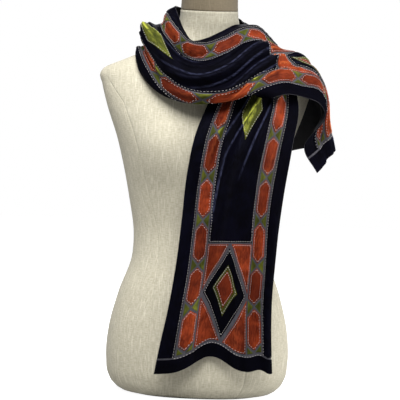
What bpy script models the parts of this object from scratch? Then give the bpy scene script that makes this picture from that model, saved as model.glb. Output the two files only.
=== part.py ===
"""A velvet scarf wound once round the neck of a limbless linen dress form, its two ends hanging.

The form stands on its flat underside at z = 0, facing -Y, with +X on the viewer's right.
The scarf is one long cloth. A place on it is (along, across): metres from the front end's hem,
and a share of the width from its inner edge, next to the neck, to its outer edge.
Each stretch of it that shows is its own solid, cut across the cloth with a thin gap at each seam.
"""

import math
from collections import namedtuple

import bpy
import numpy as np

# The cloth's cut and wall, in metres
CLOTH_WIDTH = 0.220
CLOTH_LENGTH = 1.600
WALL = 0.0022
SEAM_GAP = 0.0004
CLEAR_OF_FORM = 0.0009
TURN_LENGTH = 0.016  # cloth taken up by the round of a turned-under edge
FOLD_FADE = 0.35  # share of a fold's run over which it rises, and again falls

# Grid cells
CELLS_ACROSS = 30
FORM_SIDES = 44
FORM_RING_STEP = 0.028

# Linen dress form
FORM_TOP = 0.752
NECK_SEAM = 0.706
CAP_ROUNDING = 0.006
BUST_X = 0.088
BUST_HEIGHT = 0.440
BUST_RISE = 0.022
BUST_SPREAD_X = 0.052
BUST_SPREAD_Z = 0.060

# A ring of the form: its height on the axis, half its width, its depth in front of and behind the axis,
# the axis's y, how much the ring rises towards the back, and how square its outline is (2 is an ellipse).
Ring = namedtuple("Ring", "height half_width front back centre_y slope square")
FORM_RINGS = (
    Ring(0.000, 0.120, 0.078, 0.088, 0.000, 0.00, 2.30),
    Ring(0.004, 0.138, 0.090, 0.100, 0.000, 0.00, 2.30),
    Ring(0.012, 0.151, 0.099, 0.110, 0.000, 0.00, 2.25),
    Ring(0.031, 0.164, 0.107, 0.118, 0.000, 0.00, 2.20),
    Ring(0.056, 0.168, 0.110, 0.121, 0.000, 0.00, 2.20),
    Ring(0.118, 0.165, 0.109, 0.120, 0.000, 0.00, 2.20),
    Ring(0.180, 0.150, 0.103, 0.108, 0.000, 0.00, 2.15),
    Ring(0.250, 0.127, 0.090, 0.085, 0.000, 0.00, 2.10),
    Ring(0.285, 0.1255, 0.087, 0.080, 0.000, 0.00, 2.10),
    Ring(0.360, 0.137, 0.096, 0.087, 0.000, 0.00, 2.15),
    Ring(0.420, 0.150, 0.104, 0.095, 0.000, 0.00, 2.20),
    Ring(0.465, 0.162, 0.105, 0.100, 0.000, 0.00, 2.25),
    Ring(0.528, 0.184, 0.090, 0.098, 0.000, 0.00, 2.25),
    Ring(0.565, 0.194, 0.074, 0.090, 0.000, 0.00, 2.20),
    Ring(0.586, 0.198, 0.062, 0.082, 0.000, 0.00, 2.15),
    Ring(0.595, 0.191, 0.057, 0.078, 0.000, 0.00, 2.10),
    Ring(0.610, 0.158, 0.054, 0.073, 0.000, 0.00, 2.05),
    Ring(0.625, 0.125, 0.053, 0.069, 0.000, 0.02, 2.00),
    Ring(0.645, 0.088, 0.052, 0.064, -0.001, 0.06, 2.00),
    Ring(0.665, 0.065, 0.052, 0.058, -0.004, 0.12, 2.00),
    Ring(0.685, 0.056, 0.052, 0.053, -0.008, 0.18, 2.00),
    Ring(0.706, 0.053, 0.051, 0.051, -0.012, 0.22, 2.00),
    Ring(0.752, 0.052, 0.050, 0.050, -0.020, 0.22, 2.00),
)

# A line across the cloth: how far along it is, the places of its inner edge, its middle and its outer
# edge, and the width of the outer edge that is turned under, with the angle it is turned by.
Section = namedtuple(
    "Section",
    "along inner_x inner_y inner_z middle_x middle_y middle_z outer_x outer_y outer_z under under_angle",
)
SECTIONS = (
    # the end that hangs in front
    Section(0.000, -0.074, -0.134, 0.051, 0.028, -0.130, 0.055, 0.124, -0.136, 0.054, 0.020, 150),
    Section(0.050, -0.066, -0.134, 0.098, 0.030, -0.131, 0.102, 0.121, -0.135, 0.103, 0.020, 150),
    Section(0.120, -0.053, -0.134, 0.167, 0.034, -0.135, 0.172, 0.119, -0.134, 0.176, 0.018, 150),
    Section(0.200, -0.042, -0.134, 0.245, 0.042, -0.136, 0.249, 0.122, -0.134, 0.250, 0.016, 140),
    Section(0.280, -0.035, -0.134, 0.323, 0.048, -0.136, 0.327, 0.127, -0.133, 0.328, 0.012, 110),
    Section(0.360, -0.029, -0.135, 0.400, 0.056, -0.136, 0.402, 0.138, -0.130, 0.402, 0.008, 70),
    Section(0.430, -0.017, -0.131, 0.468, 0.069, -0.132, 0.468, 0.155, -0.118, 0.466, 0.000, 0),
    Section(0.490, 0.002, -0.108, 0.522, 0.083, -0.110, 0.524, 0.164, -0.094, 0.522, 0.000, 0),
    Section(0.545, 0.023, -0.089, 0.573, 0.092, -0.090, 0.574, 0.156, -0.068, 0.568, 0.000, 0),
    Section(0.600, 0.048, -0.064, 0.622, 0.094, -0.060, 0.620, 0.136, -0.044, 0.604, 0.000, 0),
    Section(0.650, 0.066, -0.024, 0.660, 0.094, -0.016, 0.645, 0.117, -0.008, 0.633, 0.000, 0),
    Section(0.700, 0.066, 0.024, 0.688, 0.092, 0.034, 0.656, 0.116, 0.044, 0.630, 0.000, 0),
    # behind the neck
    Section(0.760, 0.052, 0.055, 0.707, 0.074, 0.076, 0.660, 0.094, 0.090, 0.608, 0.000, 0),
    Section(0.830, 0.018, 0.071, 0.715, 0.030, 0.104, 0.660, 0.044, 0.120, 0.600, 0.000, 0),
    Section(0.900, -0.026, 0.067, 0.718, -0.034, 0.103, 0.662, -0.034, 0.120, 0.600, 0.000, 0),
    Section(0.970, -0.056, 0.042, 0.720, -0.090, 0.075, 0.669, -0.098, 0.090, 0.612, 0.000, 0),
    # over the left shoulder and across the front
    Section(1.030, -0.063, 0.008, 0.713, -0.108, 0.024, 0.669, -0.129, 0.032, 0.627, 0.000, 0),
    Section(1.080, -0.055, -0.029, 0.687, -0.109, -0.031, 0.663, -0.132, -0.028, 0.619, 0.002, 20),
    Section(1.130, -0.043, -0.061, 0.657, -0.087, -0.078, 0.635, -0.118, -0.068, 0.585, 0.010, 70),
    Section(1.180, -0.028, -0.084, 0.637, -0.055, -0.110, 0.602, -0.082, -0.104, 0.546, 0.024, 130),
    Section(1.230, -0.002, -0.089, 0.643, -0.012, -0.127, 0.586, -0.025, -0.133, 0.527, 0.040, 160),
    Section(1.280, 0.024, -0.078, 0.658, 0.035, -0.126, 0.598, 0.039, -0.139, 0.534, 0.048, 158),
    Section(1.330, 0.050, -0.048, 0.675, 0.082, -0.104, 0.620, 0.092, -0.136, 0.552, 0.030, 105),
    Section(1.370, 0.074, -0.016, 0.677, 0.116, -0.072, 0.623, 0.136, -0.118, 0.548, 0.004, 30),
    Section(1.410, 0.097, 0.014, 0.664, 0.147, -0.044, 0.617, 0.172, -0.100, 0.543, 0.000, 0),
    # over the right shoulder, where the other end falls
    Section(1.455, 0.121, 0.048, 0.632, 0.188, -0.012, 0.613, 0.203, -0.078, 0.534, 0.000, 0),
    Section(1.500, 0.138, 0.080, 0.592, 0.209, 0.000, 0.572, 0.214, -0.066, 0.508, 0.000, 0),
    Section(1.550, 0.150, 0.098, 0.532, 0.224, 0.010, 0.516, 0.180, -0.058, 0.458, 0.000, 0),
    Section(1.600, 0.164, 0.102, 0.456, 0.234, 0.008, 0.460, 0.204, -0.066, 0.411, 0.000, 0),
)

# A fold runs straight over the cloth from one place to another and dies away at both ends: its height
# is out of the cloth, or into it where negative, and its half width is a share of the cloth's width.
# Its draw is how far it pulls the cloth along, as where a hem is hitched up in an arch.
Fold = namedtuple("Fold", "from_along from_across to_along to_across height half_width draw", defaults=(0,))
FOLDS = (
    # the end that hangs in front
    Fold(0.560, 0.66, 0.180, 0.14, 0.010, 0.080),
    Fold(0.560, 0.50, 0.260, 0.02, -0.006, 0.070),
    Fold(0.400, 0.84, -0.100, 0.74, -0.010, 0.075),
    Fold(0.360, 0.98, -0.080, 0.90, 0.008, 0.060),
    Fold(0.160, 0.18, -0.160, 0.16, 0.010, 0.120),
    Fold(0.240, 0.45, -0.180, 0.42, -0.009, 0.190, 0.028),
    Fold(0.180, 0.84, -0.160, 0.85, -0.006, 0.080, 0.009),
    Fold(0.600, 0.84, 0.340, 0.62, 0.008, 0.050),
    # gathers under the wrap and behind the neck
    Fold(0.500, 0.14, 0.800, 0.16, 0.006, 0.075),
    Fold(0.500, 0.36, 0.800, 0.38, 0.006, 0.070),
    Fold(0.520, 0.62, 0.800, 0.60, 0.006, 0.075),
    Fold(0.500, 0.88, 0.800, 0.86, 0.003, 0.080),
    Fold(0.560, 0.25, 0.980, 0.265, -0.006, 0.050),
    Fold(0.560, 0.49, 0.980, 0.475, -0.007, 0.055),
    Fold(0.560, 0.74, 0.980, 0.69, -0.005, 0.060),
    Fold(0.660, 0.16, 1.040, 0.14, 0.008, 0.070),
    Fold(0.660, 0.37, 1.020, 0.36, 0.010, 0.070),
    Fold(0.660, 0.60, 1.000, 0.56, 0.010, 0.075),
    Fold(0.720, 0.82, 0.980, 0.80, 0.010, 0.070),
    # the bunched folds at the left of the neck
    Fold(0.960, 0.10, 1.240, 0.12, 0.006, 0.070),
    Fold(0.960, 0.25, 1.060, 0.25, -0.006, 0.060),
    Fold(0.990, 0.28, 1.300, 0.34, -0.013, 0.080),
    Fold(0.940, 0.52, 1.120, 0.54, 0.006, 0.150),
    Fold(1.020, 0.50, 1.230, 0.60, 0.014, 0.085),
    Fold(0.960, 0.81, 1.210, 0.82, -0.012, 0.060),
    # across the front
    Fold(1.100, 0.14, 1.440, 0.12, 0.006, 0.060),
    Fold(1.120, 0.74, 1.440, 0.28, 0.009, 0.045),
    Fold(1.150, 0.86, 1.470, 0.46, 0.009, 0.045),
    Fold(1.220, 0.90, 1.470, 0.68, 0.006, 0.045),
    # over the right shoulder
    Fold(1.320, 0.10, 1.480, 0.08, 0.008, 0.060),
    Fold(1.340, 0.24, 1.540, 0.22, -0.007, 0.070),
    Fold(1.380, 0.38, 1.620, 0.36, 0.008, 0.070),
    Fold(1.400, 0.50, 1.700, 0.48, -0.005, 0.050),
    Fold(1.420, 0.62, 1.720, 0.60, 0.006, 0.060),
    Fold(1.460, 0.78, 1.720, 0.80, -0.007, 0.060),
)

# A stretch of the scarf that shows: where it is cut along the cloth, and its rows of grid points
Stretch = namedtuple("Stretch", "name start end rows")
STRETCHES = (
    Stretch("scarf_front_end", 0.000, 0.630, 27),
    Stretch("scarf_neck_back", 0.630, 1.010, 25),
    Stretch("scarf_front_wrap", 1.010, 1.390, 27),
    Stretch("scarf_shoulder_end", 1.390, CLOTH_LENGTH, 15),
)

# A finish: base colour, roughness, metallic
Finish = namedtuple("Finish", "name color roughness metallic")
NAVY_VELVET = Finish("navy_velvet", (0.010, 0.010, 0.028, 1.0), 0.85, 0.0)
NATURAL_LINEN = Finish("natural_linen", (0.62, 0.58, 0.49, 1.0), 0.90, 0.0)


def columns(table):
    """The table's columns by name, each as an array."""
    return {name: np.array([getattr(row, name) for row in table], float) for name in table[0]._fields}


def curve_through(knots, values, places):
    """A smooth curve through the values at the knots: cubic Hermite pieces whose slope at each knot
    is the weighted mean of the two chords that meet there."""
    steps = np.diff(knots)
    chords = np.diff(values) / steps
    slopes = np.concatenate(
        [[chords[0]], (chords[:-1] * steps[1:] + chords[1:] * steps[:-1]) / (steps[:-1] + steps[1:]), [chords[-1]]]
    )
    i = np.clip(np.searchsorted(knots, places) - 1, 0, len(steps) - 1)
    step = steps[i]
    x = (places - knots[i]) / step
    return (
        (2 * x**3 - 3 * x**2 + 1) * values[i]
        + (x**3 - 2 * x**2 + x) * step * slopes[i]
        + (3 * x**2 - 2 * x**3) * values[i + 1]
        + (x**3 - x**2) * step * slopes[i + 1]
    )


def steady(x):
    """A step from 0 to 1 that starts and ends level."""
    x = np.clip(x, 0, 1)
    return x * x * (3 - 2 * x)


def unit(vectors):
    return vectors / np.maximum(np.linalg.norm(vectors, axis=-1, keepdims=True), 1e-12)


RING_COLUMNS = columns(FORM_RINGS)
SECTION_COLUMNS = columns(SECTIONS)


def ring_size(name, height):
    height = np.clip(height, RING_COLUMNS["height"][0], RING_COLUMNS["height"][-1])
    return curve_through(RING_COLUMNS["height"], RING_COLUMNS[name], height)


def bust_depth(x, height):
    """How far the bust stands out in front of a plain ring: two round swellings."""
    across = np.exp(-(((x - BUST_X) / BUST_SPREAD_X) ** 2)) + np.exp(-(((x + BUST_X) / BUST_SPREAD_X) ** 2))
    return BUST_RISE * across * np.exp(-(((height - BUST_HEIGHT) / BUST_SPREAD_Z) ** 2))


def form_ring(height, sides):
    """The form's outline at a height: a squared ellipse, deeper or shallower in front than behind."""
    angle = np.arange(sides) * 2 * math.pi / sides
    size = {name: ring_size(name, height) for name in Ring._fields[1:]}
    power = 2 / size["square"]
    x = size["half_width"] * np.sign(np.cos(angle)) * np.abs(np.cos(angle)) ** power
    front = size["front"] + bust_depth(x, height)
    depth = np.where(np.sin(angle) < 0, front, size["back"])
    y = depth * np.sign(np.sin(angle)) * np.abs(np.sin(angle)) ** power
    return np.stack([x, y + size["centre_y"], height + size["slope"] * y], axis=-1)


def form_level(points):
    """Below 0 inside the form and above 0 outside it, from the squared ellipse at each point's ring."""
    x, y, z = points[..., 0], points[..., 1], points[..., 2]
    height = z - ring_size("slope", z) * (y - ring_size("centre_y", z))
    y = y - ring_size("centre_y", height)
    front = ring_size("front", height) + bust_depth(x, height)
    depth = np.where(y < 0, front, ring_size("back", height))
    power = ring_size("square", height)
    share = (np.abs(x) / ring_size("half_width", height)) ** power + (np.abs(y) / depth) ** power
    return share ** (1 / power) - 1


def form_distance(points):
    """The distance to the form's surface, to first order, and the way straight out of it."""
    step = 0.0005
    level = form_level(points)
    rise = np.stack(
        [(form_level(points + step * axis) - form_level(points - step * axis)) / (2 * step) for axis in np.eye(3)],
        axis=-1,
    )
    steepness = np.linalg.norm(rise, axis=-1)
    return level / np.maximum(steepness, 1e-6), rise / np.maximum(steepness, 1e-6)[..., None]


def lift_off_form(points, clearance):
    """The points, with each that is nearer the form than the clearance moved straight out to it."""
    for _ in range(6):
        distance, out = form_distance(points)
        points = points + out * np.clip(clearance - distance, 0, 0.02)[..., None]
    return points


def plain(along, share):
    """The cloth with no folds: on each line across, one even curve through its edges and its middle."""
    size = {name: curve_through(SECTION_COLUMNS["along"], SECTION_COLUMNS[name], along) for name in Section._fields}
    inner, middle, outer = (
        np.stack([size[f"{place}_{axis}"] for axis in "xyz"], axis=-1) for place in ("inner", "middle", "outer")
    )
    share = share[..., None]
    return (
        inner * (1 - share) * (1 - 2 * share)
        + middle * 4 * share * (1 - share)
        + outer * share * (2 * share - 1)
    )


def folded(along, across):
    """How far the folds move the cloth out, and how far along: the sum over the folds of a round ridge
    about a straight line, which fades in and out along it."""
    out = np.zeros(np.broadcast(along, across).shape)
    drawn = np.zeros_like(out)
    for fold in FOLDS:
        share = (along - fold.from_along) / (fold.to_along - fold.from_along)
        middle = fold.from_across + (fold.to_across - fold.from_across) * share
        fade = steady(share / FOLD_FADE) * steady((1 - share) / FOLD_FADE)
        ridge = fade * np.exp(-(((across - middle) / fold.half_width) ** 2))
        out = out + fold.height * ridge
        drawn = drawn + fold.draw * ridge
    return out, drawn


def cloth(along, across):
    """The middle of the cloth's wall at (along, across), and the way the cloth runs along there. It is
    the plain cloth, the folds out of it, and the outer edge turned under on an arc and then straight."""
    step = 0.002
    under = np.maximum(curve_through(SECTION_COLUMNS["along"], SECTION_COLUMNS["under"], along), 0)
    degrees = curve_through(SECTION_COLUMNS["along"], SECTION_COLUMNS["under_angle"], along)
    angle = np.radians(np.maximum(degrees, 0.5))
    flat_part = 1 - under / CLOTH_WIDTH
    share = np.minimum(across, flat_part)
    edge_share = share / flat_part
    side = unit(plain(along, edge_share) - plain(along, edge_share - step))
    ahead = unit(plain(along + step, edge_share) - plain(along - step, edge_share))
    out = unit(np.cross(side, ahead))
    turned = np.maximum(across - flat_part, 0) * CLOTH_WIDTH
    bend = angle / TURN_LENGTH
    on_arc = np.minimum(turned, TURN_LENGTH)
    beyond = turned - on_arc
    onward = np.sin(bend * on_arc) / bend + beyond * np.cos(angle)
    inward = (1 - np.cos(bend * on_arc)) / bend + beyond * np.sin(angle)
    height, drawn = folded(along, share)
    points = plain(along, edge_share) + side * onward[..., None] + out * (height - inward)[..., None]
    return lift_off_form(points + ahead * drawn[..., None], WALL / 2 + CLEAR_OF_FORM), ahead


def grid_triangles(rows, points_in_row):
    """The triangles of a grid of points stored row by row, each cell cut from its first corner."""
    corner = (np.arange(rows - 1)[:, None] * points_in_row + np.arange(points_in_row - 1)[None, :]).ravel()
    beside, above = corner + 1, corner + points_in_row
    return np.concatenate([np.stack([corner, beside, above + 1], -1), np.stack([corner, above + 1, above], -1)])


def material(finish):
    made = bpy.data.materials.new(finish.name)
    made.use_nodes = True
    shader = made.node_tree.nodes["Principled BSDF"]
    shader.inputs["Base Color"].default_value = finish.color
    shader.inputs["Roughness"].default_value = finish.roughness
    shader.inputs["Metallic"].default_value = finish.metallic
    made.diffuse_color = finish.color
    return made


def add_object(name, points, faces, finish, collection):
    mesh = bpy.data.meshes.new(name)
    mesh.from_pydata(points.tolist(), [], [[int(corner) for corner in face] for face in faces])
    mesh.materials.append(finish)
    mesh.shade_smooth()
    made = bpy.data.objects.new(name, mesh)
    collection.objects.link(made)
    return made


def add_stretch(stretch, finish, collection):
    """One stretch of the scarf: two skins half a wall each side of the cloth, joined round the rim."""
    start = stretch.start + (SEAM_GAP / 2 if stretch.start > 0 else 0)
    end = stretch.end - (SEAM_GAP / 2 if stretch.end < CLOTH_LENGTH else 0)
    along, across = np.meshgrid(
        np.linspace(start, end, stretch.rows), np.linspace(0, 1, CELLS_ACROSS + 1), indexing="ij"
    )
    step = 0.001
    side = cloth(along, across + step)[0] - cloth(along, across - step)[0]
    middle, ahead = cloth(along, across)
    out = unit(np.cross(side, ahead)) * WALL / 2
    points = np.concatenate([(middle + out).reshape(-1, 3), (middle - out).reshape(-1, 3)])
    faces = grid_triangles(stretch.rows, CELLS_ACROSS + 1)
    count = along.size
    place = np.arange(count).reshape(along.shape)
    rim = np.concatenate([place[0, :-1], place[:-1, -1], place[-1, :0:-1], place[::-1, 0][:-1]])
    after = np.roll(rim, -1)
    rim_faces = np.concatenate(
        [np.stack([rim, rim + count, after + count], -1), np.stack([rim, after + count, after], -1)]
    )
    faces = np.concatenate([faces, faces[:, ::-1] + count, rim_faces])
    return add_object(stretch.name, points, faces, finish, collection)


def loft(name, rings, finish, collection):
    """A closed solid through rings of points, from the lowest to the highest, with a flat end at each."""
    sides = len(rings[0])
    points = np.concatenate(rings)
    corner = np.arange(sides)
    after = (corner + 1) % sides
    faces = [
        [a + sides * i, b + sides * i, b + sides * (i + 1), a + sides * (i + 1)]
        for i in range(len(rings) - 1)
        for a, b in zip(corner, after)
    ]
    faces.append(list(corner[::-1]))
    faces.append(list(corner + sides * (len(rings) - 1)))
    return add_object(name, points, faces, finish, collection)


def add_form(finish, collection):
    """The torso up to the neck seam, and the neck cap that sits on it."""
    knots = [ring.height for ring in FORM_RINGS if ring.height <= NECK_SEAM]
    heights = []
    for low, high in zip(knots[:-1], knots[1:]):
        heights += list(np.linspace(low, high, max(1, round((high - low) / FORM_RING_STEP)), endpoint=False))
    heights.append(NECK_SEAM)
    loft("form_torso", [form_ring(height, FORM_SIDES) for height in heights], finish, collection)
    cap = [form_ring(NECK_SEAM, FORM_SIDES) + np.array([0, 0, SEAM_GAP])]
    cap += [form_ring(height, FORM_SIDES) for height in (0.722, FORM_TOP - CAP_ROUNDING)]
    rim = form_ring(FORM_TOP, FORM_SIDES)
    cap.append(rim.mean(axis=0) + (rim - rim.mean(axis=0)) * 0.93)
    loft("form_neck_cap", cap, finish, collection)


def main():
    for old in list(bpy.data.objects):
        bpy.data.objects.remove(old)
    collection = bpy.data.collections.new("velvet_scarf_on_dress_form")
    bpy.context.scene.collection.children.link(collection)
    velvet = material(NAVY_VELVET)
    linen = material(NATURAL_LINEN)
    add_form(linen, collection)
    for stretch in STRETCHES:
        add_stretch(stretch, velvet, collection)


main()
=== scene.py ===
"""A patchwork velvet scarf wound once round the neck of a limbless linen dress form, for a product view.

Frame: metres, +Z up, -Y towards the viewer, +X on the viewer's right, the form's underside at z = 0.
A place on the cloth is (along, across): metres from the front end's hem, and a share of the width
from the edge next to the neck to the outer edge. The form and the cloth are worked out from the same
named values as the solids that they stand for, on a finer grid and with finer creases. The patches
and the stitches are laid out flat, in metres along and over the cloth, and then follow its surface.
"""

import math
from collections import namedtuple

import bpy
import numpy as np
from mathutils import Matrix, Vector


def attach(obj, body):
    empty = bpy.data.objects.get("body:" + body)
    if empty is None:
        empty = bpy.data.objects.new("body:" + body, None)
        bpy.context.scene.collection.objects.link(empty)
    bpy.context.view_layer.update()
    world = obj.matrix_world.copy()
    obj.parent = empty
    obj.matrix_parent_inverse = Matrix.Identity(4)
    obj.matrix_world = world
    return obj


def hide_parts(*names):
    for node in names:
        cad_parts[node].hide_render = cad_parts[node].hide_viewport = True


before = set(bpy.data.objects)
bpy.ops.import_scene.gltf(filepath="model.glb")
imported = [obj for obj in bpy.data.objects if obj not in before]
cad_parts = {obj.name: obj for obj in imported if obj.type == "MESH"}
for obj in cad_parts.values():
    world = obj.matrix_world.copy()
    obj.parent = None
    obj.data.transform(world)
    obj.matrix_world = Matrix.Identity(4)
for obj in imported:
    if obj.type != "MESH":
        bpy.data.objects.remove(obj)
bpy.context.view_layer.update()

# sizes, in metres

CLOTH_WIDTH = 0.220
CLOTH_LENGTH = 1.600
WALL = 0.0022  # of the cloth's solids
CLEAR_OF_FORM = 0.0009
LIFT_ROUNDS = 6  # cloth inside the form is moved out in so many rounds, each up to the limit
LIFT_LIMIT = 0.02
TURN_LENGTH = 0.016  # cloth taken up by the round of a turned-under edge
FOLD_FADE = 0.35  # share of a fold's run over which it rises, and again falls
BACKING = 0.0009  # the thin cloth that carries the patches
GROUND_CELL = 0.0036  # between the backing's points

FORM_TOP = 0.752
NECK_SEAM = 0.706
NECK_FOOT = 0.655  # painted shade darkens the linen from here up to the neck seam
SEAM_GAP = 0.0004  # between the torso and the neck cap
CAP_ROUNDING = 0.006
BUST_X = 0.088
BUST_HEIGHT = 0.440
BUST_RISE = 0.022
BUST_SPREAD_X = 0.052
BUST_SPREAD_Z = 0.060
FORM_CELL = 0.0045  # between the form's points
SEAM_DEPTH = 0.0008
SEAM_COLUMNS = (-0.0030, -0.0011, 0.0, 0.0011, 0.0030)  # the columns of points at a seam
GROOVE_SIDE = 0.25  # share of a seam's depth in the columns next to its middle
SIDE_SEAM_TOP = 0.590
SIDE_SEAM_FADE = 0.020
FORM_RADIUS = 0.130  # turns a distance round the form into an angle
PANEL_SHIFT = 0.013  # metres of linen for each column, so that no two panels are cut from one place
CAP_SIDES = 128
CAP_ROWS = 10
CAP_FOOT = 0.985  # share of its width to which the cap is drawn in at the neck seam
CAP_FOOT_HEIGHT = 0.0008
CAP_FIRST_ROW = 0.003  # over the neck seam


def named_rows(kind, rows):
    """A table's rows, each with its numbers named."""
    return [kind(*row) for row in rows]


# A ring of the form: its height on the axis, half its width, its depth in front of and behind the axis,
# the axis's y, how much the ring rises towards the back, and how square its outline is (2 is an ellipse).
Ring = namedtuple("Ring", "height half_width front back centre_y slope square")
FORM_RINGS = named_rows(Ring, (
    (0.000, 0.120, 0.078, 0.088, 0.000, 0.00, 2.30),
    (0.004, 0.138, 0.090, 0.100, 0.000, 0.00, 2.30),
    (0.012, 0.151, 0.099, 0.110, 0.000, 0.00, 2.25),
    (0.031, 0.164, 0.107, 0.118, 0.000, 0.00, 2.20),
    (0.056, 0.168, 0.110, 0.121, 0.000, 0.00, 2.20),
    (0.118, 0.165, 0.109, 0.120, 0.000, 0.00, 2.20),
    (0.180, 0.150, 0.103, 0.108, 0.000, 0.00, 2.15),
    (0.250, 0.127, 0.090, 0.085, 0.000, 0.00, 2.10),
    (0.285, 0.1255, 0.087, 0.080, 0.000, 0.00, 2.10),
    (0.360, 0.137, 0.096, 0.087, 0.000, 0.00, 2.15),
    (0.420, 0.150, 0.104, 0.095, 0.000, 0.00, 2.20),
    (0.465, 0.162, 0.105, 0.100, 0.000, 0.00, 2.25),
    (0.528, 0.184, 0.090, 0.098, 0.000, 0.00, 2.25),
    (0.565, 0.194, 0.074, 0.090, 0.000, 0.00, 2.20),
    (0.586, 0.198, 0.062, 0.082, 0.000, 0.00, 2.15),
    (0.595, 0.191, 0.057, 0.078, 0.000, 0.00, 2.10),
    (0.610, 0.158, 0.054, 0.073, 0.000, 0.00, 2.05),
    (0.625, 0.125, 0.053, 0.069, 0.000, 0.02, 2.00),
    (0.645, 0.088, 0.052, 0.064, -0.001, 0.06, 2.00),
    (0.665, 0.065, 0.052, 0.058, -0.004, 0.12, 2.00),
    (0.685, 0.056, 0.052, 0.053, -0.008, 0.18, 2.00),
    (0.706, 0.053, 0.051, 0.051, -0.012, 0.22, 2.00),
    (0.752, 0.052, 0.050, 0.050, -0.020, 0.22, 2.00),
))

# The princess seams: at each height, where the seam lies on the front and on the back of a ring, as a
# share of its half width, and how deep it is, as a share of its full depth.
SeamPoint = namedtuple("SeamPoint", "height front back front_depth back_depth", defaults=(1.0, 1.0))
FORM_SEAMS = named_rows(SeamPoint, (
    (0.000, 0.50, 0.50),
    (0.180, 0.55, 0.46),
    (0.285, 0.62, 0.40),
    (0.380, 0.72, 0.46),
    (0.420, 0.75, 0.50),
    (0.460, 0.77, 0.54),
    (0.525, 0.81, 0.58),
    (0.565, 0.91, 0.60),
    (0.590, 0.95, 0.62, 0.0, 1.0),
    (0.640, 0.80, 0.60, 0.0, 0.0),
    (0.752, 0.70, 0.60, 0.0, 0.0),
))

# A line across the cloth: how far along it is, the places of its inner edge, its middle and its outer
# edge, and the width of the outer edge that is turned under, with the angle it is turned by.
Section = namedtuple(
    "Section",
    "along inner_x inner_y inner_z middle_x middle_y middle_z outer_x outer_y outer_z under under_angle",
    defaults=(0, 0),
)
SECTIONS = named_rows(Section, (
    # the end that hangs in front
    (0.000, -0.074, -0.134, 0.051, 0.028, -0.130, 0.055, 0.124, -0.136, 0.054, 0.020, 150),
    (0.050, -0.066, -0.134, 0.098, 0.030, -0.131, 0.102, 0.121, -0.135, 0.103, 0.020, 150),
    (0.120, -0.053, -0.134, 0.167, 0.034, -0.135, 0.172, 0.119, -0.134, 0.176, 0.018, 150),
    (0.200, -0.042, -0.134, 0.245, 0.042, -0.136, 0.249, 0.122, -0.134, 0.250, 0.016, 140),
    (0.280, -0.035, -0.134, 0.323, 0.048, -0.136, 0.327, 0.127, -0.133, 0.328, 0.012, 110),
    (0.360, -0.029, -0.135, 0.400, 0.056, -0.136, 0.402, 0.138, -0.130, 0.402, 0.008, 70),
    (0.430, -0.017, -0.131, 0.468, 0.069, -0.132, 0.468, 0.155, -0.118, 0.466),
    (0.490, 0.002, -0.108, 0.522, 0.083, -0.110, 0.524, 0.164, -0.094, 0.522),
    (0.545, 0.023, -0.089, 0.573, 0.092, -0.090, 0.574, 0.156, -0.068, 0.568),
    (0.600, 0.048, -0.064, 0.622, 0.094, -0.060, 0.620, 0.136, -0.044, 0.604),
    (0.650, 0.066, -0.024, 0.660, 0.094, -0.016, 0.645, 0.117, -0.008, 0.633),
    (0.700, 0.066, 0.024, 0.688, 0.092, 0.034, 0.656, 0.116, 0.044, 0.630),
    # behind the neck
    (0.760, 0.052, 0.055, 0.707, 0.074, 0.076, 0.660, 0.094, 0.090, 0.608),
    (0.830, 0.018, 0.071, 0.715, 0.030, 0.104, 0.660, 0.044, 0.120, 0.600),
    (0.900, -0.026, 0.067, 0.718, -0.034, 0.103, 0.662, -0.034, 0.120, 0.600),
    (0.970, -0.056, 0.042, 0.720, -0.090, 0.075, 0.669, -0.098, 0.090, 0.612),
    # over the left shoulder and across the front
    (1.030, -0.063, 0.008, 0.713, -0.108, 0.024, 0.669, -0.129, 0.032, 0.627),
    (1.080, -0.055, -0.029, 0.687, -0.109, -0.031, 0.663, -0.132, -0.028, 0.619, 0.002, 20),
    (1.130, -0.043, -0.061, 0.657, -0.087, -0.078, 0.635, -0.118, -0.068, 0.585, 0.010, 70),
    (1.180, -0.028, -0.084, 0.637, -0.055, -0.110, 0.602, -0.082, -0.104, 0.546, 0.024, 130),
    (1.230, -0.002, -0.089, 0.643, -0.012, -0.127, 0.586, -0.025, -0.133, 0.527, 0.040, 160),
    (1.280, 0.024, -0.078, 0.658, 0.035, -0.126, 0.598, 0.039, -0.139, 0.534, 0.048, 158),
    (1.330, 0.050, -0.048, 0.675, 0.082, -0.104, 0.620, 0.092, -0.136, 0.552, 0.030, 105),
    (1.370, 0.074, -0.016, 0.677, 0.116, -0.072, 0.623, 0.136, -0.118, 0.548, 0.004, 30),
    (1.410, 0.097, 0.014, 0.664, 0.147, -0.044, 0.617, 0.172, -0.100, 0.543),
    # over the right shoulder, where the other end falls
    (1.455, 0.121, 0.048, 0.632, 0.188, -0.012, 0.613, 0.203, -0.078, 0.534),
    (1.500, 0.138, 0.080, 0.592, 0.209, 0.000, 0.572, 0.214, -0.066, 0.508),
    (1.550, 0.150, 0.098, 0.532, 0.224, 0.010, 0.516, 0.180, -0.058, 0.458),
    (1.600, 0.164, 0.102, 0.456, 0.234, 0.008, 0.460, 0.204, -0.066, 0.411),
))

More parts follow.
